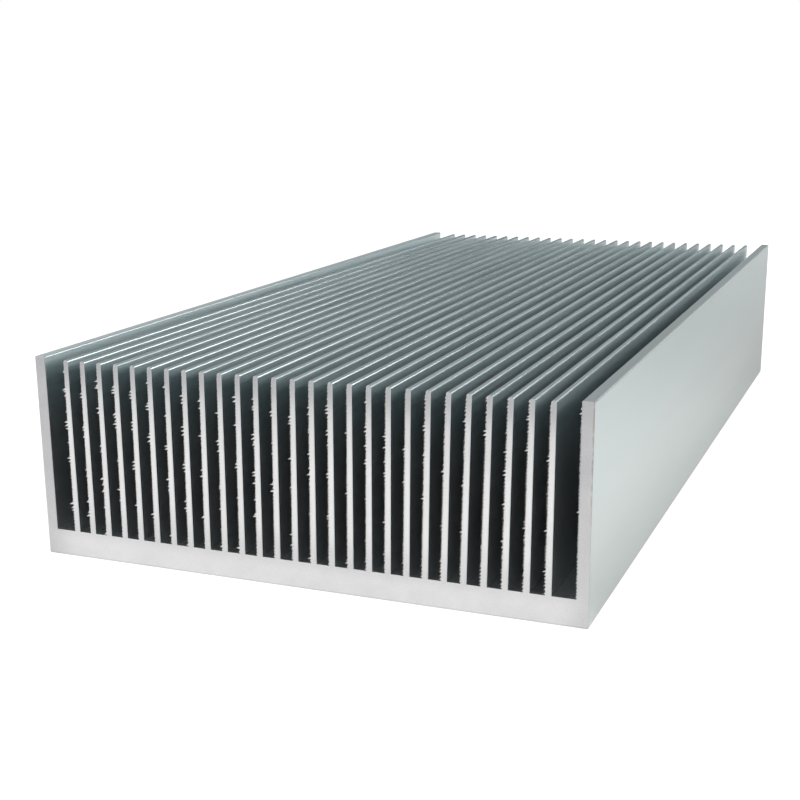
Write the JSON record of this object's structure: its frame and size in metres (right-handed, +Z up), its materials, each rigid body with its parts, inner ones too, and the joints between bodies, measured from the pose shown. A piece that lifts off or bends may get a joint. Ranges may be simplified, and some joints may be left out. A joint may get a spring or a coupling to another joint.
{
  "type": "extruded heat sink",
  "caption": "Extruded aluminium heat sink: a flat base plate with tapered straight fins between two taller end walls, sawn to length.",
  "frame": {"origin": "centre of the flat underside", "axes": "+Z up from the base plate along the fins' height, Y along the extrusion and the fins' length, X across the fins"},
  "size_m": [0.15, 0.3, 0.0545],
  "materials": {
    "aluminium": "mill finish as extruded, with matt sawn ends"
  },
  "bodies": {
    "root": {"heat_sink": "aluminium"}
  },
  "joints": []
}
